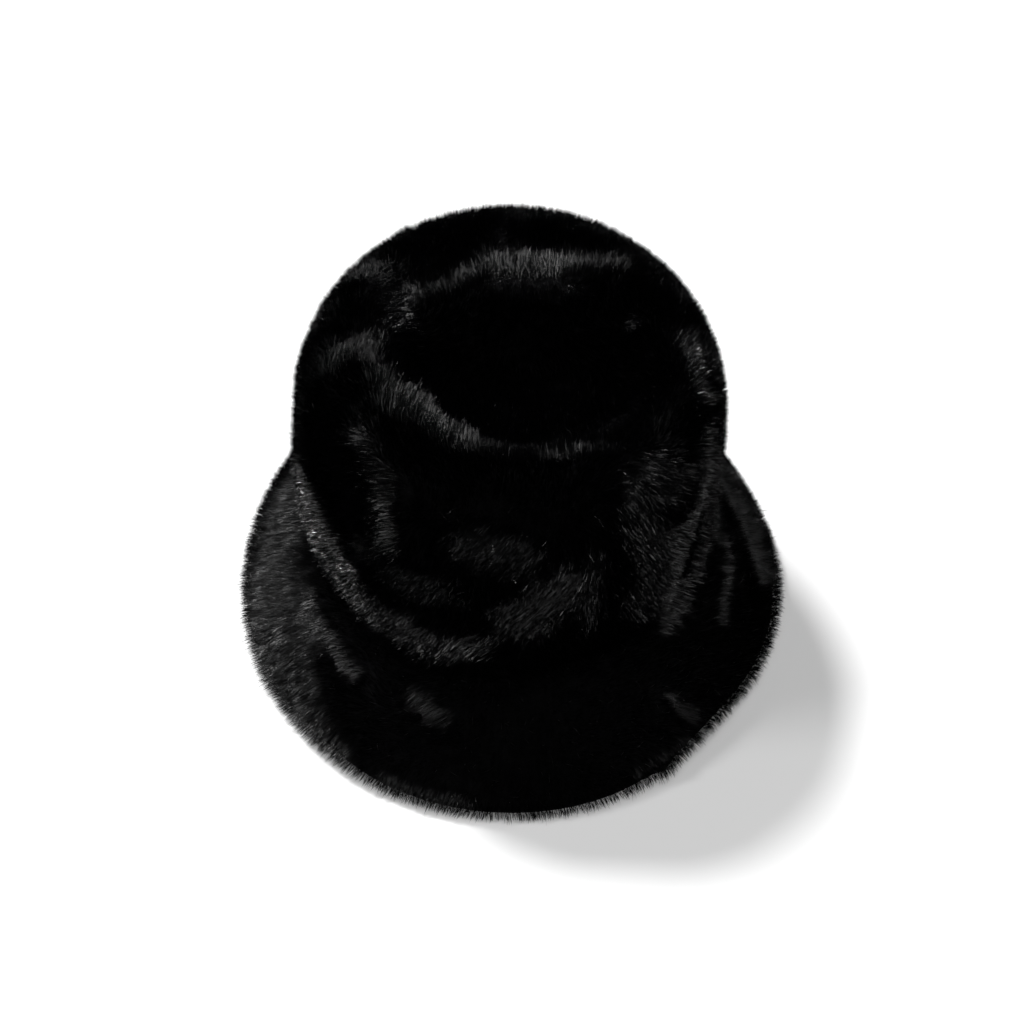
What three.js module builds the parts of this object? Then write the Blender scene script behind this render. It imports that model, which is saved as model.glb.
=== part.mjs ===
// A black faux fur bucket hat, standing on the edge of its brim. Millimetres, +Z up, the front faces -Y.
// Angles run anticlockwise seen from above, with 0 along +X, 90 at the back, 180 along -X and 270 at the front.
// The hat is sewn from five pieces of fur cloth: a sunken tip, a side band in two halves, and a brim in two
// halves, each of these doubled over at the hem. Every piece is a closed wall of backing and pile together.
import * as THREE from "three";
import { mergeVertices } from "three/addons/utils/BufferGeometryUtils.js";

// Driving dimensions, over the pile
const CROWN_HALF_WIDTH = 101; // X
const CROWN_HALF_DEPTH = 114; // Y
const HAT_HEIGHT = 151;
const LEAN_BACK = 12; // how far the top of the crown sits behind the middle of the brim
const LEAN_LEFT = 1; // and towards -X
const BAND_WALL = 12;
const TIP_WALL = 9;
const BRIM_WALL = 15; // two layers of fur cloth, back to back
const LOCK_RELIEF = 1.4; // how far the locks of the pile stand above the dips between them

// Seams
const SEAM_ANGLE = 304; // shows as a parting right of the front, and its twin is opposite
const SEAM_GAP = 0.8; // clear space between two pieces
const SEAM_DIP = 2.6; // how far the pile sinks at a sewn edge
const TIP_SEAM_LEVEL = 9.2; // between two sections

// How finely the faces are cut
const STEPS_ROUND = 96;
const BRIM_ROWS = 6;
const HEM_ROWS = 8;
const BAND_ROWS = 9;
const TIP_ROWS = 9;

// Oval sections of the outside, from the hem over the brim, up the band and in over the tip.
// high is a share of the hat's height. wide and deep are shares of the crown's half width and half depth.
const SECTIONS = [
  { name: "hem", high: 0.068, wide: 1.284, deep: 1.304 },
  { name: "brim_low", high: 0.15, wide: 1.212, deep: 1.22 },
  { name: "brim_middle", high: 0.235, wide: 1.118, deep: 1.114 },
  { name: "brim_high", high: 0.306, wide: 1.032, deep: 1.018 },
  { name: "join", high: 0.36, wide: 0.975, deep: 0.96 },
  { name: "band_low", high: 0.456, wide: 0.962, deep: 0.952 },
  { name: "band_middle", high: 0.608, wide: 0.982, deep: 0.982 },
  { name: "band_high", high: 0.76, wide: 1, deep: 1 },
  { name: "shoulder", high: 0.88, wide: 0.95, deep: 0.958 },
  { name: "shoulder_top", high: 0.962, wide: 0.84, deep: 0.852 },
  { name: "crest", high: 1, wide: 0.69, deep: 0.712 },
  { name: "tip_slope", high: 0.99, wide: 0.48, deep: 0.5 },
  { name: "tip_middle", high: 0.98, wide: 0.24, deep: 0.25 },
  { name: "pole", high: 0.976, wide: 0, deep: 0 },
];
const JOIN_LEVEL = SECTIONS.findIndex((section) => section.name === "join");
const POLE_LEVEL = SECTIONS.length - 1;

// Oval hollows pressed into the tip. x and y are the middle of each, from the middle of the brim.
const HOLLOWS = [
  { name: "middle", x: 7, y: -5, halfWidth: 69, halfDepth: 55, depth: 27, steepness: 0.5 },
  { name: "left_front", x: -74, y: -24, halfWidth: 22, halfDepth: 26, depth: 4, steepness: 1 },
  { name: "front_slope", x: -5, y: -98, halfWidth: 90, halfDepth: 52, depth: 8, steepness: 1 },
  { name: "back_notch", x: -31, y: 74, halfWidth: 25, halfDepth: 19, depth: 5, steepness: 1 },
];

// Soft ridges along the edge of the middle hollow, where the cloth of the tip turns down into it.
const RIDGES = [
  { name: "left_front", fromX: -60, fromY: -8, toX: -43, toY: -37, width: 11, rise: 8 },
  { name: "front", fromX: -38, fromY: -42, toX: -12, toY: -56, width: 9, rise: 5 },
  { name: "right_front", fromX: 24, fromY: -56, toX: 62, toY: -46, width: 9, rise: 3 },
  { name: "left_back", fromX: -53, fromY: 17, toX: -22, toY: 50, width: 8, rise: 5 },
  { name: "back", fromX: -8, fromY: 49, toX: 26, toY: 49, width: 9, rise: 7.5 },
  { name: "right_back", fromX: 31, fromY: 51, toX: 53, toY: 63, width: 8, rise: 4.5 },
];

// Soft rolls and valleys that run round or up the side. rise is outward, and so negative in a valley.
const FOLDS = [
  { name: "base_roll", fromAngle: 188, fromHeight: 84, toAngle: 222, toHeight: 69, width: 10, rise: 8 },
  { name: "base_roll_front", fromAngle: 236, fromHeight: 62, toAngle: 268, toHeight: 53, width: 9, rise: 8 },
  { name: "base_valley", fromAngle: 186, fromHeight: 44, toAngle: 237, toHeight: 48, width: 6.5, rise: -7.5 },
  { name: "brim_roll", fromAngle: 190, fromHeight: 36, toAngle: 230, toHeight: 38, width: 7, rise: 5 },
  { name: "brim_crease", fromAngle: 215, fromHeight: 31, toAngle: 222, toHeight: 14, width: 6, rise: -4 },
  { name: "left_valley", fromAngle: 210, fromHeight: 124, toAngle: 219, toHeight: 88, width: 9, rise: -7 },
  { name: "left_roll", fromAngle: 229, fromHeight: 134, toAngle: 238, toHeight: 108, width: 10, rise: 6 },
  { name: "right_roll", fromAngle: 326, fromHeight: 112, toAngle: 315, toHeight: 62, width: 8, rise: 5 },
  { name: "right_valley", fromAngle: 333, fromHeight: 100, toAngle: 321, toHeight: 52, width: 6, rise: -4.5 },
  { name: "right_side_roll", fromAngle: 339, fromHeight: 106, toAngle: 328, toHeight: 52, width: 7, rise: 4.5 },
  { name: "right_brim_roll", fromAngle: 2, fromHeight: 48, toAngle: 344, toHeight: 30, width: 7, rise: 4.5 },
  { name: "right_brim_valley", fromAngle: 10, fromHeight: 42, toAngle: 350, toHeight: 20, width: 6, rise: -4 },
  { name: "right_hem_roll", fromAngle: 18, fromHeight: 40, toAngle: 357, toHeight: 14, width: 6, rise: 2.5 },
];

// Slow waves of the hem: lift is off the surface that the hat stands on, and pull is inward.
const WAVES = [
  { name: "front_left", angle: 222, spread: 16, lift: 2.5, pull: 0 },
  { name: "front_right", angle: 318, spread: 18, lift: 4, pull: 2.5 },
  { name: "back_left", angle: 138, spread: 22, lift: 3.5, pull: 1 },
  { name: "back_right", angle: 34, spread: 22, lift: 4, pull: 6.5 },
];
const PRESSED_BELOW = 0.9; // the hem is pressed flat up to this height

const radians = THREE.MathUtils.degToRad;

// The shortest signed turn from one angle to another, in degrees.
function turn(from, to) {
  return THREE.MathUtils.euclideanModulo(to - from + 180, 360) - 180;
}

// How near a place is to a straight stretch: 1 on it, and fading over the width to either side.
function nearness(place, start, end, width) {
  const stretch = end.clone().sub(start);
  const share = THREE.MathUtils.clamp(place.clone().sub(start).dot(stretch) / stretch.lengthSq(), 0, 1);
  const away = place.distanceTo(start.clone().addScaledVector(stretch, share));
  return Math.exp(-((away / width) ** 2));
}

// The outline runs through every section, as half width, half depth and height.
const outline = new THREE.CatmullRomCurve3(
  SECTIONS.map(
    ({ wide, deep, high }) =>
      new THREE.Vector3(wide * CROWN_HALF_WIDTH, deep * CROWN_HALF_DEPTH, high * HAT_HEIGHT),
  ),
  false,
  "centripetal",
);

// The middle of the oval at a height, which moves as the crown leans.
function middleAt(height) {
  const share = THREE.MathUtils.smootherstep(height, 0, HAT_HEIGHT);
  return new THREE.Vector3(-LEAN_LEFT * share, LEAN_BACK * share, height);
}

// A point of one oval of the outline, before folds and hollows.
function ovalPoint(angle, level) {
  const oval = outline.getPoint(Math.max(level, 0) / POLE_LEVEL);
  const a = radians(angle);
  return middleAt(oval.z).add(new THREE.Vector3(oval.x * Math.cos(a), oval.y * Math.sin(a), 0));
}

// The outward and the upward direction of the outline at a point.
function directions(angle, level) {
  const step = 0.02;
  const middle = THREE.MathUtils.clamp(level, step, POLE_LEVEL - step);
  const up = ovalPoint(angle, middle + step).sub(ovalPoint(angle, middle - step)).normalize();
  const round = ovalPoint(angle + 1, middle).sub(ovalPoint(angle - 1, middle)).normalize();
  const out = level > POLE_LEVEL - step ? new THREE.Vector3(0, 0, 1) : round.cross(up).normalize();
  return { out, up };
}

// Folds, waves, hollows and ridges move the whole wall, inside and outside together.
function settle(point) {
  const offset = point.clone().sub(middleAt(point.z));
  const a = Math.atan2(offset.y / CROWN_HALF_DEPTH, offset.x / CROWN_HALF_WIDTH);
  const angle = THREE.MathUtils.radToDeg(a);
  const outward = new THREE.Vector3(Math.cos(a), Math.sin(a), 0);
  const settled = point.clone();

  for (const fold of FOLDS) {
    const perDegree = radians(1) * CROWN_HALF_WIDTH;
    const start = new THREE.Vector2(0, fold.fromHeight);
    const end = new THREE.Vector2(turn(fold.fromAngle, fold.toAngle) * perDegree, fold.toHeight);
    const place = new THREE.Vector2(turn(fold.fromAngle, angle) * perDegree, point.z);
    settled.addScaledVector(outward, fold.rise * nearness(place, start, end, fold.width));
  }

  const brimShare = 1 - THREE.MathUtils.smoothstep(point.z, 0, outline.points[JOIN_LEVEL].z);
  for (const wave of WAVES) {
    const share = brimShare * Math.exp(-((turn(wave.angle, angle) / wave.spread) ** 2));
    settled.z += wave.lift * share;
    settled.addScaledVector(outward, -wave.pull * share);
  }

  const onTop = THREE.MathUtils.smoothstep(point.z, 0.7 * HAT_HEIGHT, 0.9 * HAT_HEIGHT);
  for (const hollow of HOLLOWS) {
    const across = (point.x - hollow.x) / hollow.halfWidth;
    const along = (point.y - hollow.y) / hollow.halfDepth;
    const inside = 1 - Math.hypot(across, along);
    settled.z -= hollow.depth * onTop * THREE.MathUtils.smoothstep(inside, 0, hollow.steepness);
  }
  for (const ridge of RIDGES) {
    const start = new THREE.Vector2(ridge.fromX, ridge.fromY);
    const end = new THREE.Vector2(ridge.toX, ridge.toY);
    const place = new THREE.Vector2(point.x, point.y);
    settled.z += ridge.rise * onTop * nearness(place, start, end, ridge.width);
  }

  if (settled.z < PRESSED_BELOW) settled.z = 0;
  return settled;
}

// One place in the wall: level is up the outline, inset is in from the outside and drop is past the hem.
function wallPoint(angle, { level, inset, drop = 0 }) {
  const { out, up } = directions(angle, level);
  return settle(ovalPoint(angle, level).addScaledVector(out, -inset).addScaledVector(up, -drop));
}

// The closed section of a wall, up its outside and down its inside, so the first point faces the last.
// The pile fades out towards the pole, where the steps round are too short for its locks.
function wallSection(fromLevel, toLevel, rows, wall) {
  const outside = [];
  const inside = [];
  for (let row = 0; row <= rows; row += 1) {
    const level = THREE.MathUtils.lerp(fromLevel, toLevel, row / rows);
    const sewn = (row === 0 && fromLevel > 0) || (row === rows && toLevel < POLE_LEVEL);
    outside.push({ level, inset: 0, pile: Math.min(1, (POLE_LEVEL - level) / 3), sewn });
    inside.unshift({ level, inset: wall, pile: 0 });
  }
  return [...outside, ...inside];
}

// Faces between the section at each angle and the next, closed round the hat or capped at both ends.
function sweep(name, section, angles, closed) {
  const size = section.length;
  const corners = [];
  angles.forEach((angle, step) => {
    const atEnd = !closed && (step === 0 || step === angles.length - 1);
    section.forEach((place, row) => {
      const sunk = atEnd || place.sewn ? SEAM_DIP : ((step + row) % 2) * LOCK_RELIEF;
      const inset = place.inset + place.pile * sunk;
      corners.push(...wallPoint(angle, { ...place, inset }).toArray());
    });
  });

  const faces = [];
  const addQuad = (a, b, c, d) => faces.push(a, b, c, a, c, d);
  const lastStep = closed ? angles.length : angles.length - 1;
  for (let step = 0; step < lastStep; step += 1) {
    const here = step * size;
    const next = ((step + 1) % angles.length) * size;
    for (let row = 0; row < size - 1; row += 1) {
      addQuad(here + row, next + row, next + row + 1, here + row + 1);
    }
    // The last face is cut along the same diagonal as the face across the seam, so that the two stay parallel.
    addQuad(next + size - 1, next, here, here + size - 1);
  }
  if (!closed) {
    const end = (angles.length - 1) * size;
    for (let row = 0; row < size / 2 - 1; row += 1) {
      const across = size - 1 - row;
      addQuad(row, row + 1, across - 1, across);
      addQuad(end + row, end + across, end + across - 1, end + row + 1);
    }
  }

  const loose = new THREE.BufferGeometry();
  loose.setAttribute("position", new THREE.Float32BufferAttribute(corners, 3));
  loose.setIndex(faces);
  const geometry = mergeVertices(loose, 1e-3);
  const index = Array.from(geometry.index.array);
  const kept = [];
  for (let i = 0; i < index.length; i += 3) {
    const [a, b, c] = index.slice(i, i + 3);
    if (a !== b && b !== c && c !== a) kept.push(a, b, c);
  }
  geometry.setIndex(kept);
  geometry.computeVertexNormals();

  const fur = new THREE.MeshStandardMaterial({ color: 0x070708, roughness: 0.85, metalness: 0 });
  const mesh = new THREE.Mesh(geometry, fur);
  mesh.name = name;
  return mesh;
}

// The angles of one half of the hat, from one seam to the other.
function halfAngles(fromAngle) {
  const margin = THREE.MathUtils.radToDeg(SEAM_GAP / 2 / CROWN_HALF_WIDTH);
  const steps = STEPS_ROUND / 2;
  return Array.from({ length: steps + 1 }, (_, step) =>
    fromAngle + THREE.MathUtils.lerp(margin, 180 - margin, step / steps));
}

// Levels that lie half a seam gap to either side of a seam.
function besideSeam(level) {
  const perLevel = ovalPoint(0, level - 0.1).distanceTo(ovalPoint(0, level + 0.1)) / 0.2;
  return { below: level - SEAM_GAP / 2 / perLevel, above: level + SEAM_GAP / 2 / perLevel };
}

const join = besideSeam(JOIN_LEVEL);
const tipSeam = besideSeam(TIP_SEAM_LEVEL);

// The tip: an oval panel sewn to the top of the band, sunk in the middle.
function makeTip() {
  const section = wallSection(tipSeam.above, POLE_LEVEL, TIP_ROWS, TIP_WALL);
  const angles = Array.from({ length: STEPS_ROUND }, (_, step) => SEAM_ANGLE + (360 * step) / STEPS_ROUND);
  return sweep("crown_tip", section, angles, true);
}

// One half of the side band.
function makeBand(name, fromAngle) {
  const section = wallSection(join.above, tipSeam.below, BAND_ROWS, BAND_WALL);
  return sweep(name, section, halfAngles(fromAngle), false);
}

// One half of the brim: both layers, with the hem rolled from the upper one to the lower.
function makeBrim(name, fromAngle) {
  const section = wallSection(0, join.below, BRIM_ROWS, BRIM_WALL);
  const radius = BRIM_WALL / 2;
  const hem = [];
  for (let row = 1; row < HEM_ROWS; row += 1) {
    const a = (Math.PI * row) / HEM_ROWS;
    hem.push({ level: 0, inset: radius * (1 - Math.cos(a)), drop: radius * Math.sin(a), pile: 0 });
  }
  const lower = hem.slice(HEM_ROWS / 2).reverse();
  const upper = hem.slice(0, HEM_ROWS / 2).reverse();
  return sweep(name, [...upper, ...section, ...lower], halfAngles(fromAngle), false);
}

const hat = new THREE.Group();
hat.add(
  makeTip(),
  makeBand("band_left", SEAM_ANGLE - 180),
  makeBand("band_right", SEAM_ANGLE),
  makeBrim("brim_left", SEAM_ANGLE - 180),
  makeBrim("brim_right", SEAM_ANGLE),
);

// The origin is the middle of the hat's footprint, on the surface that it stands on.
const footprint = new THREE.Box3().setFromObject(hat);
const middle = footprint.getCenter(new THREE.Vector3());
hat.position.set(-middle.x, -middle.y, -footprint.min.z);

export default hat;
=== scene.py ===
import math

import bmesh
import bpy
import numpy as np
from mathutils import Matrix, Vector
from mathutils.bvhtree import BVHTree
from mathutils.kdtree import KDTree


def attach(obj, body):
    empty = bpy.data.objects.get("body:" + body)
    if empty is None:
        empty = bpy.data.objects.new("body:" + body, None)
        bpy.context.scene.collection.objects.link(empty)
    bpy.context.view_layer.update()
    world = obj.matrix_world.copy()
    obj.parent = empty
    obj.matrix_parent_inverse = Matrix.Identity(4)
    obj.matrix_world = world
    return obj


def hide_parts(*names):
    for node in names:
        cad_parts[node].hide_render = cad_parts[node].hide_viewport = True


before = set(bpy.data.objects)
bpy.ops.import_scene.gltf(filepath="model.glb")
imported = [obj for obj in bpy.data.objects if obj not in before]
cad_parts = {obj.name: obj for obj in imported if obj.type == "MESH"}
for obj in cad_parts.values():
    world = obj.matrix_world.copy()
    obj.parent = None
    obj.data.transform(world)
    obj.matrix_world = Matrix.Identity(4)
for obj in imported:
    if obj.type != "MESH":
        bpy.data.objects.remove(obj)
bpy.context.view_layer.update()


# Brim
# Two half rings of long-pile fur cloth, cut double and turned over at the hem, so pile shows above and below.
# They meet at two upright seams and hang from the band. The pile is the shortest and flattest of the hat.

MM = 0.001
BRIM_PILE_DEPTH = 5.5 * MM
BRIM_HAIR_LENGTH = 7 * MM
BRIM_HAIRS = 88_000
BRIM_UNDERSIDE_SHARE = 0.4  # how dense the pile is under the brim, beside the top of it
# Colours of the pile at the roots and at the ends of the hairs: the darker roots are painted shade deep in the pile
BRIM_SHADED_ROOTS = (0.0003, 0.0003, 0.00035)
BRIM_PALE_ENDS = (0.002, 0.002, 0.0023)

# Stretches where the pile is combed one way: their two ends and half their width in millimetres, the way that the
# tips of the hairs point there, how shiny they are, from 0 in the shade of a fold to over 1, and how long they look
# beside the rest, as in a tuft
STROKE_COLUMNS = ("from", "to", "width", "towards", "sheen", "fluff")
STROKE_ROWS = [
    # Front edge of the dent
    ((-53, -22, 158), (-45, -33, 160), 11, (0.24, 0.96, 0.15), 1.3, 2.3),
    ((-43, -34, 160), (-21, -50, 155), 10, (0.37, 0.91, 0.18), 1.3, 2.2),
    ((-21, -54, 155), (15, -57, 150), 5, (0.08, 0.99, 0.11), 0.3, 1.2),
    ((-65, 2, 153), (-60, -9, 157), 6, (0.16, 0.98, 0.13), 0.05, 1.1),
    ((-80, 3, 146), (-65, 10, 151), 9, (0.24, 0.96, 0.15), 0.2, 1.4),
    ((26, -53, 149), (44, -55, 152), 5, (0.00, 1.00, 0.09), 0.15, 1),
    ((21, -60, 151), (25, -57, 150), 3.5, (-0.49, 0.87, -0.04), 0.8, 1),
    # Back and right edge of the dent, and the top behind it
    ((-4, 62, 150), (22, 56, 154), 13, (0.04, 0.99, 0.10), 1.3, 1.7),
    ((-2, 47, 154), (20, 46, 153), 8, (-0.04, -0.99, -0.10), 0.8, 1.1),
    ((-2, 44, 148), (19, 43, 148), 7, (-0.04, -0.99, -0.10), 0.3, 1),
    ((24, 49, 158), (41, 61, 154), 6, (0.35, 0.92, 0.17), 0.3, 1.1),
    ((41, 57, 155), (53, 64, 154), 5.5, (0.35, 0.92, 0.17), 0.3, 1),
    ((-57, 18, 153), (-43, 42, 150), 5.5, (-0.47, 0.88, -0.04), 0.75, 1),
    ((-43, 42, 150), (-14, 62, 150), 6.5, (-0.39, 0.92, -0.01), 0.85, 1),
    ((-60, 58, 150), (-53, 26, 153), 9, (0.96, -0.15, 0.23), 0.35, 1),
    ((-74, 65, 142), (-64, 66, 147), 6, (-0.24, 0.97, 0.03), 0.25, 1),
    ((-5, 87, 150), (-1, 72, 149), 6, (0.97, 0.03, 0.25), 0.5, 1),
    ((51, 26, 144), (56, 28, 148), 4, (-0.94, -0.24, -0.26), 0.9, 1),
    ((82, 13, 143), (87, -9, 140), 9, (0.78, 0.57, 0.25), 1, 1),
    # Left side of the crown
    ((-69, -47, 143), (-58, -70, 139), 6, (-0.97, 0.09, -0.24), 1, 1),
    ((-58, -70, 139), (-56, -87, 118), 7, (-0.96, 0.15, -0.23), 1, 1),
    ((-87, -23, 137), (-80, -48, 105), 11, (-0.57, -0.57, 0.59), 0, 1),
    ((-76, -62, 120), (-74, -62, 83), 6, (-0.65, -0.59, 0.48), 0, 1),
    # The roll of cloth round the foot of the crown, and the groove under it
    ((-98, -25, 95), (-92, -41, 88), 7, (-0.88, 0.44, -0.18), 1.3, 1),
    ((-93, -40, 85), (-83, -63, 73), 12, (-0.97, 0.03, -0.24), 1.8, 1),
    ((-81, -65, 73), (-65, -73, 55), 11, (-0.84, -0.14, -0.53), 1.8, 1),
    ((-63, -80, 65), (-46, -97, 65), 9, (-0.78, -0.27, -0.57), 1.5, 1),
    ((-46, -97, 64), (-15, -105, 65), 8, (-0.78, -0.27, -0.57), 1.3, 1),
    ((-101, -18, 42), (-90, -49, 45), 4, (-0.46, -0.36, 0.81), 0, 1),
    ((-90, -49, 45), (-75, -73, 45), 4.5, (-0.36, -0.45, 0.81), 0, 1),
    ((-75, -73, 45), (-58, -89, 45), 5, (-0.28, -0.48, 0.83), 0, 1),
    # Front of the crown, on both sides of the seam
    ((-48, -91, 96), (-35, -96, 96), 10, (-0.74, -0.33, -0.58), 0.15, 1),
    ((-19, -96, 124), (4, -98, 121), 12, (-0.70, -0.40, -0.59), 0.06, 1),
    ((4, -102, 81), (27, -98, 100), 14, (-0.74, -0.34, -0.58), 0.35, 1),
    ((34, -95, 70), (40, -93, 113), 6, (-0.15, -0.83, -0.53), 0.15, 1),
    ((61, -65, 137), (76, -58, 124), 12, (0.87, 0.06, -0.49), 0.18, 1),
    ((55, -78, 125), (64, -76, 100), 11, (0.59, -0.48, -0.64), 0.4, 1),
    ((61, -78, 71), (70, -71, 92), 12, (0.59, -0.48, -0.64), 0.4, 1),
    ((91, -26, 125), (93, -35, 112), 6, (0.87, 0.39, -0.29), 0.6, 1),
    # Fan of folds on the right
    ((92, -35, 108), (79, -58, 56), 13, (0.89, 0.20, -0.41), 0.55, 1),
    ((104, 26, 40), (121, -8, 21), 10, (0.89, 0.20, -0.41), 0.65, 1),
    ((100, 3, 52), (96, -30, 49), 6, (0.89, 0.20, -0.41), 0.3, 1),
    ((82, -58, 54), (72, -72, 50), 9, (0.88, 0.09, -0.48), 0.45, 1),
    ((92, -35, 111), (77, -66, 97), 5.5, (0.89, 0.24, -0.39), 1.1, 1),
    ((77, -66, 97), (73, -67, 51), 6.5, (0.88, 0.09, -0.48), 0.8, 1),
    ((97, -3, 53), (84, -55, 58), 4, (0.89, 0.20, -0.41), 1.1, 1),
    ((104, 22, 40), (123, -12, 19), 5, (0.89, 0.20, -0.41), 1.2, 1),
    ((107, -11, 44), (100, -56, 35), 4.5, (0.89, 0.20, -0.41), 0.75, 1),
    ((101, 3, 51), (110, -19, 40), 2.5, (0.46, -0.28, 0.84), 0, 1),
    ((97, -26, 50), (89, -60, 47), 3.5, (0.52, -0.42, 0.75), 0, 1),
    ((88, -42, 88), (81, -54, 63), 2, (0.48, -0.79, 0.37), 0, 1),
    ((115, -40, 29), (110, -62, 19), 9, (0.60, -0.46, 0.66), 0, 1),
    # Brim
    ((-110, 30, 34), (-115, 2, 33), 15, (-0.97, 0.09, -0.24), 0.65, 1),
    ((-114, -1, 33), (-114, -59, 16), 26, (-0.97, 0.03, -0.24), 0.6, 1),
    ((-102, -48, 38), (-95, -83, 22), 12, (-0.95, -0.15, -0.26), 0.4, 1),
    ((-98, -54, 39), (-74, -93, 38), 6, (-0.88, -0.02, -0.48), 0.3, 1),
    ((-114, -64, 14), (-92, -106, 10), 16, (-0.86, -0.45, -0.26), 0.38, 1),
    ((-92, -106, 10), (-78, -120, 9), 8, (-0.67, -0.70, -0.24), 0.3, 1),
    ((-60, -133, 9), (-20, -148, 8), 5, (-0.41, -0.69, -0.60), 0.1, 1),
    ((-46, -110, 39), (-32, -120, 35), 7, (-0.76, -0.30, -0.57), 0.25, 1),
    ((76, -101, 29), (86, -104, 18), 4.5, (0.86, 0.02, -0.51), 0.3, 1),
    ((58, -132, 11), (83, -112, 12), 4.5, (0.62, -0.46, -0.64), 0.08, 1),
    ((-89, -82, 32), (-81, -105, 22), 3.5, (-0.51, -0.58, 0.63), 0, 1),
]
STROKES = [dict(zip(STROKE_COLUMNS, row)) for row in STROKE_ROWS]


def neighbours_of(node):
    """A search tree over the walls of all the other pieces."""
    places = []
    faces = []
    for name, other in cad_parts.items():
        if name != node:
            first = len(places)
            places += [vertex.co.copy() for vertex in other.data.vertices]
            faces += [[first + i for i in face.vertices] for face in other.data.polygons]
    return BVHTree.FromPolygons(places, faces)


def make_backing(node, name, pile_depth, is_furry):
    """The cloth under the pile: a wall of the hat, with its furry faces let down by the depth of the pile, which is
    pressed thin where the hem stands on the floor.
    Returns the piece, and for each furry face its corners, the way straight out at each, and its area."""
    sewn_reach = 1.3 * MM  # a face this close to the next piece is a sewn edge
    sewn_pull = 0.55  # how far a sewn edge is drawn to the next piece: a little past the middle of the gap
    sunk_already = 2.2 * MM  # the solids' pile is pulled in this far where it is sewn
    pressed_height = 10 * MM  # the pile is pressed below this height
    pressed_slope = 0.4  # in full where the cloth looks down this much or more
    pressed_loss = 0.7  # share of its depth that it loses on the floor
    bm = bmesh.new()
    bm.from_mesh(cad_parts[node].data)
    bmesh.ops.remove_doubles(bm, verts=bm.verts, dist=0.01 * MM)
    others = neighbours_of(node)
    furry = [
        face
        for face in bm.faces
        if is_furry(face) and others.find_nearest(face.calc_center_median())[3] > sewn_reach
    ]
    # Draw the sewn edges together
    sewn = {}
    with_pile = set(furry)
    for face in bm.faces:
        if face not in with_pile and others.find_nearest(face.calc_center_median())[3] <= sewn_reach:
            for vertex in face.verts:
                sewn.setdefault(vertex, Vector())
                sewn[vertex] += face.normal * face.calc_area()
    sharp = bm.edges.layers.float.new("crease_edge")
    for edge in bm.edges:
        if edge.verts[0] in sewn and edge.verts[1] in sewn:
            edge[sharp] = 1
    for vertex, way in sewn.items():
        way.normalize()
        nearest = others.find_nearest(vertex.co)[0]
        vertex.co += way * (nearest - vertex.co).dot(way) * sewn_pull
    around = {}
    for face in furry:
        for vertex in face.verts:
            around.setdefault(vertex, []).append(face)
    free = [vertex for vertex in around if len(around[vertex]) == len(vertex.link_faces)]
    for _ in range(2):
        bmesh.ops.smooth_vert(bm, verts=free, factor=0.5, use_axis_x=True, use_axis_y=True, use_axis_z=True)
    bm.normal_update()
    area = np.array([face.calc_area() for face in furry])
    out = {}
    for vertex, faces in around.items():
        out[vertex] = sum((face.normal * face.calc_area() for face in faces), Vector()).normalized()
        if vertex in sewn:
            out[vertex] -= sewn[vertex] * out[vertex].dot(sewn[vertex])
            out[vertex].normalize()
    for vertex, way in out.items():
        pressed = min(1, max(0, -way.z / pressed_slope)) * (1 - min(1, vertex.co.z / pressed_height))
        depth = pile_depth * (1 - pressed_loss * pressed)
        vertex.co -= way * (depth - (sunk_already if vertex in sewn else 0))
    corners = np.array([[vertex.co[:] for vertex in face.verts] for face in furry])
    outs = np.array([[out[vertex][:] for vertex in face.verts] for face in furry])

    mesh = bpy.data.meshes.new(name)
    bm.to_mesh(mesh)
    bm.free()
    mesh.shade_smooth()
    backing = bpy.data.objects.new(name, mesh)
    bpy.context.scene.collection.objects.link(backing)
    rounding = backing.modifiers.new("rounding", "SUBSURF")
    rounding.levels = rounding.render_levels = 1
    return backing, {"corners": corners, "outs": outs, "area": area, "depth": pile_depth}


def unit(vectors):
    """The vectors, each brought to length 1."""
    return vectors / np.linalg.norm(vectors, axis=-1, keepdims=True)


def ripples(places, size, seed):
    """Smooth random values, mostly from -1 to 1, that change over about the given size."""
    rng = np.random.default_rng(seed)
    total = np.zeros(len(places))
    waves = 9
    for _ in range(waves):
        way = unit(rng.normal(size=3)) * 2 * math.pi / (size * rng.uniform(0.7, 1.6))
        total += np.sin(places @ way + rng.uniform(0, 2 * math.pi))
    return total / math.sqrt(waves / 2) * 0.8


def comb(places, way):
    """Turns the hairs by the strokes over them. Returns their ways, how loose each is left, its sheen and length."""
    tidied = 0.6  # share of its disorder that a combed hair loses
    loose, fluff = np.ones((2, len(places), 1))
    sheen = np.zeros((len(places), 1))
    # The edge of a stroke wanders by these shares of its width
    ragged = 0.13 * ripples(places, 9 * MM, 6) + 0.1 * ripples(places, 4 * MM, 7)
    for stroke in STROKES:
        start = np.array(stroke["from"]) * MM
        stretch = np.array(stroke["to"]) * MM - start
        share = np.clip((places - start) @ stretch / (stretch @ stretch), 0, 1)
        away = np.linalg.norm(places - start - share[:, None] * stretch, axis=1) / (stroke["width"] * MM)
        away = np.maximum(0, away + ragged)[:, None]
        pull = np.exp(-((0.85 * away) ** 3))  # falls off late, so that the whole stroke points one way
        way = way * (1 - pull) + pull * unit(np.array(stroke["towards"]))
        loose *= 1 - tidied * pull
        soft = np.exp(-1.1 * away**2)
        sheen = sheen * (1 - soft) + soft * stroke["sheen"]
        fluff = fluff * (1 - soft) + soft * stroke["fluff"]
    return way, loose, sheen, fluff


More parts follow.
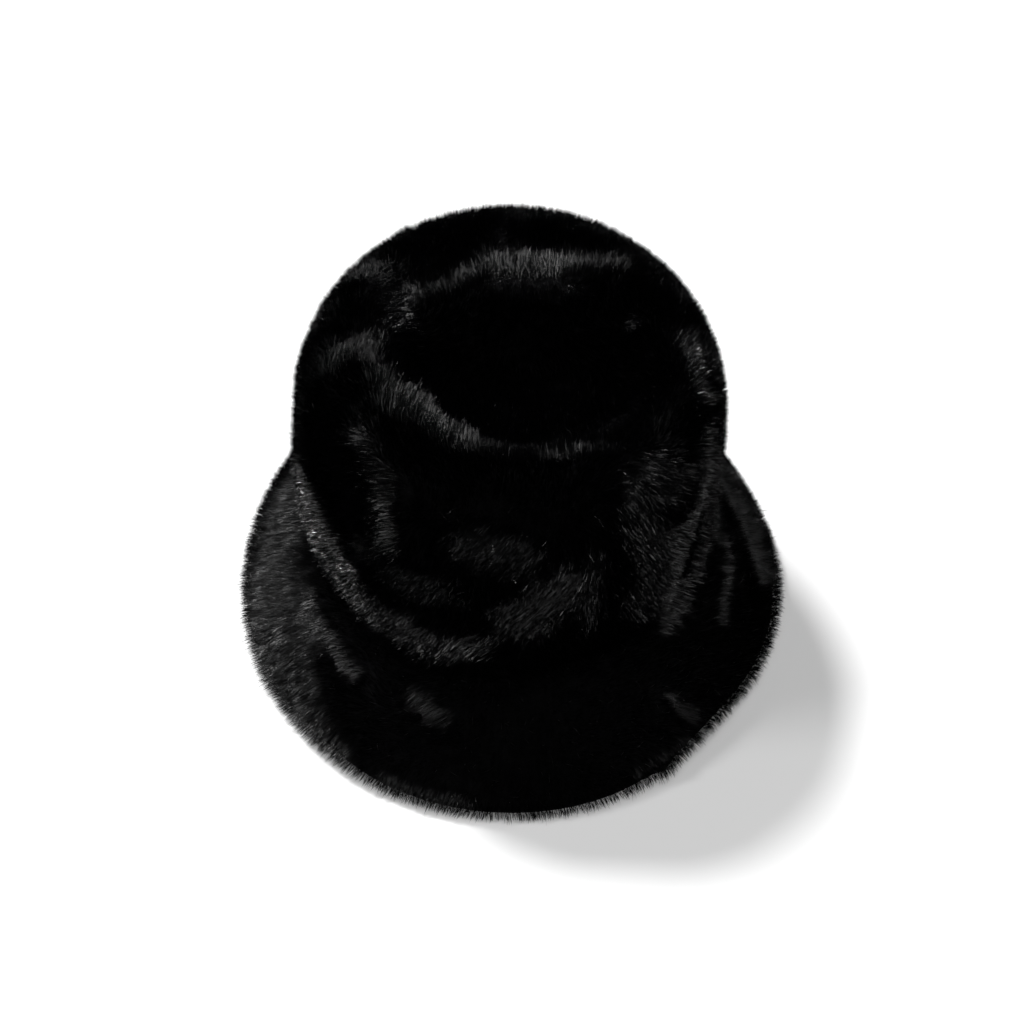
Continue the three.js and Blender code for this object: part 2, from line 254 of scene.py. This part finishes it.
def grow_pile(cloth, name, hairs, length, seed, clump=0.15, uneven=1, share=None):
    """Plush pile as one mesh of bent blades, each a narrow kite of two faces that is shaded as if it were round.
    The hairs stand out of the cloth, lean back a little on top, and near a stroke they point as it says.
    Clump is how far the hairs of a lock draw together, uneven is how much they differ, and share thins some places."""
    lock_spacing = 3 * MM
    blade_width = (0.24 + 0.1 * uneven) * MM
    root_scatter = 1.5 * MM  # carries hairs over the sewn edges, so that the pile has no gap there
    top_from, top_full = 0.45, 0.9  # cloth that looks up this much begins to count as the top, and counts in full
    lean_back = (0, 0.3, 0)
    tip_reach = 0.6  # how far a combed hair's tip is moved aside, beside its length
    drift = 0.4 + 0.6 * uneven
    lock_turn = 0.07
    hair_turn = 0.05 + 0.04 * uneven
    lowest_slant = 0.12  # about the least share of a hair's way that is straight out of the cloth
    strays = 0.025 * uneven  # share of the hairs that have come loose, and shine
    stray_sheen = 0.8
    stray_turn = 0.5
    guard_hairs = 0.05  # share of the hairs that stand out of the pile a little
    guard_length = 1.12
    floor_gap = 0.2 * MM
    pressed_length = 0.6
    bend_at = 0.45  # along each hair
    bend_upright = 0.55  # how much of the way straight out is left below the bend
    bend_clump = 0.35  # how much of the drawing together is done at the bend
    round_edge = 0.6  # how far the shading of a blade's edges turns away
    rng = np.random.default_rng(seed)
    odds = cloth["area"] * (1 if share is None else share(unit(cloth["outs"].sum(1))))
    face = rng.choice(len(odds), hairs, p=odds / odds.sum())
    a, b = rng.random((2, hairs))
    past = a + b > 1
    a[past], b[past] = 1 - a[past], 1 - b[past]
    weights = np.stack([1 - a - b, a, b], axis=1)[:, :, None]
    root = (cloth["corners"][face] * weights).sum(1)
    out = unit((cloth["outs"][face] * weights).sum(1))
    moved = rng.normal(0, root_scatter, (hairs, 3))
    root += moved - out * (moved * out).sum(1, keepdims=True)

    # The way that the tips point. A stroke works where the tips of the hairs combed by it would lie
    on_top = np.clip((out[:, 2:] - top_from) / (top_full - top_from), 0, 1)
    way = unit(out + on_top * lean_back)
    seen = root + out * cloth["depth"]
    combed = comb(seen, way)[0]
    leaning = combed - out * (combed * out).sum(1, keepdims=True)
    combed, loose, sheen, fluff = comb(seen + leaning * length * tip_reach, way)
    broad = np.stack([ripples(root, 30 * MM, i) for i in range(3)], axis=1)
    fine = np.stack([ripples(root, 9 * MM, 3 + i) for i in range(3)], axis=1)
    way = combed + loose * drift * (0.2 * broad + 0.12 * fine)

    # Each hair belongs to the lock whose middle is nearest
    locks = max(1, round(cloth["area"].sum() / lock_spacing**2))
    middles = rng.choice(hairs, locks, replace=False)
    tree = KDTree(locks)
    for i, middle in enumerate(middles):
        tree.insert(root[middle] + out[middle] * length, i)
    tree.balance()
    lock = np.array([tree.find(place)[1] for place in root + out * length])
    to_middle = root[middles[lock]] - root
    to_middle *= np.minimum(1, 2 * lock_spacing / (np.linalg.norm(to_middle, axis=1, keepdims=True) + 1e-9))
    sheen = np.clip(sheen * rng.lognormal(-0.4 * uneven**2, 0.9 * uneven, (hairs, 1)), 0, 1)
    stray = rng.random((hairs, 1)) < strays
    sheen[stray] = stray_sheen
    way = way + rng.normal(0, lock_turn, (locks, 3))[lock]
    way = unit(way + rng.normal(0, 1, (hairs, 3)) * (hair_turn + np.where(stray, stray_turn, 0)))
    slant = (way * out).sum(1, keepdims=True)
    way = unit(way + out * np.maximum(0, lowest_slant - slant))
    size = length * fluff[:, 0] * (1 + rng.normal(0, 0.03, locks)[lock]) * rng.uniform(0.8, 1.05, hairs)
    size[rng.random(hairs) < guard_hairs] *= guard_length

    # Hairs that would run into the floor are pressed flat along it
    steepest = -np.maximum(0, root[:, 2:] - floor_gap) / size[:, None]
    pressed = (way[:, 2:] < steepest)[:, 0]
    spread = unit((way + out)[pressed] * (1, 1, 0) + (1e-6, 0, 0))
    steepest = np.maximum(-1, steepest[pressed])
    way[pressed] = spread * np.sqrt(1 - steepest**2) + steepest * (0, 0, 1)
    size[pressed] *= pressed_length
    lower_way = unit(bend_upright * out + (1 - bend_upright) * way)
    bend = root + lower_way * size[:, None] * bend_at + to_middle * clump * bend_clump
    tip = bend + way * size[:, None] * (1 - bend_at) + to_middle * clump * (1 - bend_clump)
    bend[:, 2] = np.maximum(bend[:, 2], floor_gap)
    tip[:, 2] = np.maximum(tip[:, 2], floor_gap)

    # The blade's flat side looks out of the pile, more or less, and its edges are shaded as turning away
    along = unit(tip - root)
    across = unit(np.cross(along, out + rng.normal(0, 0.6, (hairs, 3))))
    front = np.cross(across, along)
    facing = (front * out).sum(1, keepdims=True) > 0
    across = np.where(facing, across, -across)
    front = np.where(facing, front, -front)
    normals = np.stack([front, front - round_edge * across, front + round_edge * across, front], axis=1)
    across = across * blade_width / 2 * rng.uniform(0.75, 1.15, (hairs, 1))
    blades = np.stack([root, bend - across, bend + across, tip], axis=1)
    shade = np.clip(0.5 + rng.normal(0, 0.12, locks)[lock] + rng.normal(0, 0.2, hairs), 0, 1)
    values = {
        "along_hair": np.tile([0, bend_at, bend_at, 1], hairs),
        "hair_shade": np.repeat(shade, 4),
        "hair_sheen": np.repeat(sheen, 4),
    }
    return blade_mesh(name, blades, unit(normals), values)


def blade_mesh(name, blades, normals, values):
    """One mesh of kites: each blade's root, two sides and tip, with the normals that shade it and named values."""
    hairs = len(blades)
    kite = np.array([[0, 2, 1], [1, 2, 3]])
    corners = np.arange(hairs)[:, None, None] * 4 + kite
    mesh = bpy.data.meshes.new(name)
    mesh.vertices.add(hairs * 4)
    mesh.vertices.foreach_set("co", blades.astype(np.float32).ravel())
    mesh.loops.add(hairs * 6)
    mesh.loops.foreach_set("vertex_index", corners.astype(np.int32).ravel())
    mesh.polygons.add(hairs * 2)
    mesh.polygons.foreach_set("loop_start", np.arange(0, hairs * 6, 3, dtype=np.int32))
    for value_name, value in values.items():
        attribute = mesh.attributes.new(value_name, "FLOAT", "POINT")
        attribute.data.foreach_set("value", value.astype(np.float32))
    mesh.update(calc_edges=True)
    mesh.validate()
    mesh.shade_smooth()
    shaded_as = mesh.attributes.new("custom_normal", "FLOAT_VECTOR", "POINT")
    shaded_as.data.foreach_set("vector", normals.astype(np.float32).ravel())
    pile = bpy.data.objects.new(name, mesh)
    bpy.context.scene.collection.objects.link(pile)
    return pile


def pile_shading():
    """Colour and roughness of the pile: darkest at the roots, which is painted shade deep in the pile, paler towards
    the ends of the hairs, with paler hairs and soft patches.
    """
    group = bpy.data.node_groups.new("pile_shading", "ShaderNodeTree")
    for socket, kind in [("Shaded roots", "NodeSocketColor"), ("Pale ends", "NodeSocketColor"), ("Roughness", "NodeSocketFloat")]:
        group.interface.new_socket(socket, in_out="INPUT", socket_type=kind)
    group.interface.new_socket("Color", in_out="OUTPUT", socket_type="NodeSocketColor")
    group.interface.new_socket("Roughness", in_out="OUTPUT", socket_type="NodeSocketFloat")
    nodes = group.nodes
    link = group.links.new
    given = nodes.new("NodeGroupInput")
    result = nodes.new("NodeGroupOutput")
    place = nodes.new("ShaderNodeTexCoord")
    patches = nodes.new("ShaderNodeTexNoise")
    patches.inputs["Scale"].default_value = 45
    patches.inputs["Detail"].default_value = 3
    link(place.outputs["Object"], patches.inputs["Vector"])
    along = nodes.new("ShaderNodeAttribute")
    along.attribute_name = "along_hair"
    shade = nodes.new("ShaderNodeAttribute")
    shade.attribute_name = "hair_shade"
    mixed = nodes.new("ShaderNodeMath")
    mixed.operation = "MULTIPLY"
    link(patches.outputs["Fac"], mixed.inputs[0])
    link(shade.outputs["Fac"], mixed.inputs[1])
    height = nodes.new("ShaderNodeMath")
    height.operation = "MULTIPLY"
    link(mixed.outputs["Value"], height.inputs[0])
    link(along.outputs["Fac"], height.inputs[1])
    share = nodes.new("ShaderNodeMath")
    share.operation = "MULTIPLY"
    share.use_clamp = True
    share.inputs[1].default_value = 4
    link(height.outputs["Value"], share.inputs[0])
    # Along each hair the colour runs from the shaded roots to the paler ends: the dark roots are painted shade deep in
    # the pile
    colour = nodes.new("ShaderNodeMix")
    colour.data_type = "RGBA"
    link(share.outputs["Value"], colour.inputs["Factor"])
    link(given.outputs["Shaded roots"], colour.inputs["A"])
    link(given.outputs["Pale ends"], colour.inputs["B"])
    link(colour.outputs["Result"], result.inputs["Color"])
    worn = nodes.new("ShaderNodeMath")
    worn.operation = "MULTIPLY_ADD"
    worn.inputs[1].default_value = 0.1
    link(shade.outputs["Fac"], worn.inputs[0])
    link(given.outputs["Roughness"], worn.inputs[2])
    link(worn.outputs["Value"], result.inputs["Roughness"])
    return group


def pile_material(name, shaded_roots, pale_ends, roughness, gloss, sheen_roughness):
    """Dyed plush hair, painted darker at the roots as shade deep in the pile. The gloss is the strength of the
    highlight on each hair.
    """
    material = bpy.data.materials.new(name)
    material.use_nodes = True
    nodes = material.node_tree.nodes
    link = material.node_tree.links.new
    hair = nodes["Principled BSDF"]
    shading = nodes.new("ShaderNodeGroup")
    shading.node_tree = bpy.data.node_groups.get("pile_shading") or pile_shading()
    shading.inputs["Shaded roots"].default_value = (*shaded_roots, 1)
    shading.inputs["Pale ends"].default_value = (*pale_ends, 1)
    shading.inputs["Roughness"].default_value = roughness
    link(shading.outputs["Color"], hair.inputs["Base Color"])
    link(shading.outputs["Roughness"], hair.inputs["Roughness"])
    hair.inputs["Specular IOR Level"].default_value = gloss
    sheen = nodes.new("ShaderNodeAttribute")
    sheen.attribute_name = "hair_sheen"
    link(sheen.outputs["Fac"], hair.inputs["Coat Weight"])
    hair.inputs["Coat Roughness"].default_value = sheen_roughness
    hair.inputs["Coat IOR"].default_value = 1.8
    return material


def knit_material(name, colour):
    """The knitted cloth that the hairs are fixed in, seen bare inside the hat."""
    material = bpy.data.materials.new(name)
    material.use_nodes = True
    nodes = material.node_tree.nodes
    link = material.node_tree.links.new
    cloth = nodes["Principled BSDF"]
    place = nodes.new("ShaderNodeTexCoord")
    loops = nodes.new("ShaderNodeTexVoronoi")
    loops.inputs["Scale"].default_value = 900
    link(place.outputs["Object"], loops.inputs["Vector"])
    raised = nodes.new("ShaderNodeBump")
    raised.inputs["Strength"].default_value = 0.5
    raised.inputs["Distance"].default_value = 0.0004
    link(loops.outputs["Distance"], raised.inputs["Height"])
    link(raised.outputs["Normal"], cloth.inputs["Normal"])
    tint = nodes.new("ShaderNodeMix")
    tint.data_type = "RGBA"
    tint.inputs["A"].default_value = (*(c * 0.6 for c in colour), 1)
    tint.inputs["B"].default_value = (*(c * 1.3 for c in colour), 1)
    link(loops.outputs["Distance"], tint.inputs["Factor"])
    link(tint.outputs["Result"], cloth.inputs["Base Color"])
    cloth.inputs["Roughness"].default_value = 0.9
    cloth.inputs["Specular IOR Level"].default_value = 0.1
    return material


def brim_share(out):
    """How dense the pile is on each face of the brim, by the way that the face looks."""
    return np.where(out[:, 2] > -0.2, 1, BRIM_UNDERSIDE_SHARE)


brim_pile = pile_material("brim_pile", BRIM_SHADED_ROOTS, BRIM_PALE_ENDS, roughness=0.16, gloss=0.12, sheen_roughness=0.34)
backing_knit = knit_material("backing_knit", (0.004, 0.004, 0.0045))
for seed, side in enumerate(["left", "right"]):
    node = f"brim_{side}"
    backing, cloth = make_backing(node, f"{node}_backing", BRIM_PILE_DEPTH, lambda face: True)
    pile = grow_pile(
        cloth, f"{node}_pile", BRIM_HAIRS, BRIM_HAIR_LENGTH, 100 + seed, clump=0.05, uneven=0.2, share=brim_share
    )
    backing.data.materials.append(backing_knit)
    pile.data.materials.append(brim_pile)
    for piece in (backing, pile):
        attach(piece, "root")
        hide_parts(node)


# Side band
# Two curved panels of fur cloth round the head, sewn to each other at the brim's seams and to the brim below.
# The pile is longest here. It stands straight out, and has been combed flat in patches and along the folds.

BAND_PILE_DEPTH = 6.4 * MM
BAND_HAIR_LENGTH = 8.6 * MM
BAND_HAIRS = 88_000
# Colours of the pile at the roots and at the ends of the hairs: the darker roots are painted shade deep in the pile
BAND_SHADED_ROOTS = (0.0002, 0.0002, 0.00025)
BAND_PALE_ENDS = (0.0015, 0.0015, 0.0018)
HEART = Vector((0, 10, 60)) * MM  # a point inside the crown, which the bare side of the cloth faces


def faces_out(face):
    """True for a face that looks away from the inside of the crown."""
    return face.normal.dot((face.calc_center_median() - HEART).normalized()) > 0.2


band_pile = pile_material("band_pile", BAND_SHADED_ROOTS, BAND_PALE_ENDS, roughness=0.15, gloss=0.12, sheen_roughness=0.2)
for seed, side in enumerate(["left", "right"]):
    node = f"band_{side}"
    backing, cloth = make_backing(node, f"{node}_backing", BAND_PILE_DEPTH, faces_out)
    pile = grow_pile(cloth, f"{node}_pile", BAND_HAIRS, BAND_HAIR_LENGTH, 200 + seed)
    backing.data.materials.append(backing_knit)
    pile.data.materials.append(band_pile)
    for piece in (backing, pile):
        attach(piece, "root")
        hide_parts(node)


# Tip
# One oval panel of fur cloth sewn into the top of the band, which has sunk into a deep dent.
# Its pile is stroked towards the back, and stands up along the edge of the dent.

TIP_PILE_DEPTH = 6.5 * MM
TIP_HAIR_LENGTH = 8.6 * MM
TIP_HAIRS = 88_000
# Colours of the pile at the roots and at the ends of the hairs: the darker roots are painted shade deep in the pile
TIP_SHADED_ROOTS = (0.0002, 0.0002, 0.00025)
TIP_PALE_ENDS = (0.0015, 0.0015, 0.0019)


def faces_up(face):
    """True for a face on the upper side of the tip."""
    return face.normal.z > 0.1


tip_pile = pile_material("tip_pile", TIP_SHADED_ROOTS, TIP_PALE_ENDS, roughness=0.15, gloss=0.12, sheen_roughness=0.2)
backing, cloth = make_backing("crown_tip", "crown_tip_backing", TIP_PILE_DEPTH, faces_up)
pile = grow_pile(cloth, "crown_tip_pile", TIP_HAIRS, TIP_HAIR_LENGTH, 300)
backing.data.materials.append(backing_knit)
pile.data.materials.append(tip_pile)
for piece in (backing, pile):
    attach(piece, "root")
    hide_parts("crown_tip")


# Floor
# A plain white table top, lit softly from below as product tables are, and wide enough to fill every view.

bm = bmesh.new()
bmesh.ops.create_circle(bm, cap_ends=True, segments=96, radius=6)
floor_mesh = bpy.data.meshes.new("floor")
bm.to_mesh(floor_mesh)
bm.free()
floor = bpy.data.objects.new("floor", floor_mesh)
bpy.context.scene.collection.objects.link(floor)
paper = bpy.data.materials.new("white_paper")
paper.use_nodes = True
matt = paper.node_tree.nodes["Principled BSDF"]
matt.inputs["Base Color"].default_value = (0.9, 0.9, 0.9, 1)
matt.inputs["Roughness"].default_value = 1
matt.inputs["Specular IOR Level"].default_value = 0
matt.inputs["Emission Color"].default_value = (1, 1, 1, 1)
matt.inputs["Emission Strength"].default_value = 0.16
floor.data.materials.append(paper)


# Light
# A dim even room and four soft round lamps: the brightest high on the left behind the hat, one over its front, and
# a weak one on each side for the sheen of the combed fur.

ROOM = 0.04
# Each lamp: what it adds to a white floor beside 1 for full white, where it stands, and how wide it is, in metres
LAMPS = [
    {"name": "key", "share": 0.75, "at": (-3.0, 4.2, 6.2), "size": 1.3},
    {"name": "left", "share": 0.16, "at": (-4.5, -0.5, 4.0), "size": 1.4},
    {"name": "right", "share": 0.1, "at": (4.6, -0.6, 3.4), "size": 1.4},
    {"name": "top", "share": 0.2, "at": (0.2, -0.9, 4.2), "size": 1.4},
]

world = bpy.data.worlds.new("room")
world.use_nodes = True
world.node_tree.nodes["Background"].inputs["Color"].default_value = (1, 1, 1, 1)
world.node_tree.nodes["Background"].inputs["Strength"].default_value = ROOM
bpy.context.scene.world = world

for row in LAMPS:
    at = Vector(row["at"])
    data = bpy.data.lights.new(row["name"], "AREA")
    data.shape = "DISK"
    data.size = row["size"]
    # A disc of radiance R and area A that faces a spot at distance d lights it by R * A / d squared, where R is
    # P / (pi * A) for a lamp of power P. A white floor sends back a pi-th of that, so full white takes pi
    spread = at.length_squared + (row["size"] / 2) ** 2
    data.energy = row["share"] * math.pi**2 * spread / at.normalized().z
    lamp = bpy.data.objects.new(row["name"], data)
    lamp.location = at
    lamp.rotation_mode = "QUATERNION"
    lamp.rotation_quaternion = at.to_track_quat("Z", "Y")
    bpy.context.scene.collection.objects.link(lamp)


# Camera
# It looks down at the front of the hat from the height that the photograph was taken at.

CAMERA_ELEVATION = math.radians(47)
CAMERA_DISTANCE = 1.48
CAMERA_AIM = Vector((0, 0, 0.005))
FOCAL_PIXELS = 3055.6
IMAGE_PIXELS = 1024
SENSOR = 36  # millimetres, as Blender measures a sensor
AIM_BELOW_MIDDLE = 61.3  # pixels

camera_data = bpy.data.cameras.new("camera")
camera_data.sensor_width = SENSOR
camera_data.lens = FOCAL_PIXELS / IMAGE_PIXELS * SENSOR
camera_data.shift_y = AIM_BELOW_MIDDLE / IMAGE_PIXELS
camera = bpy.data.objects.new("camera", camera_data)
back = Vector((0, -math.cos(CAMERA_ELEVATION), math.sin(CAMERA_ELEVATION)))
camera.location = CAMERA_AIM + back * CAMERA_DISTANCE
camera.rotation_mode = "QUATERNION"
camera.rotation_quaternion = back.to_track_quat("Z", "Y")
bpy.context.scene.collection.objects.link(camera)
bpy.context.scene.camera = camera
bpy.context.scene.view_settings.view_transform = "Standard"
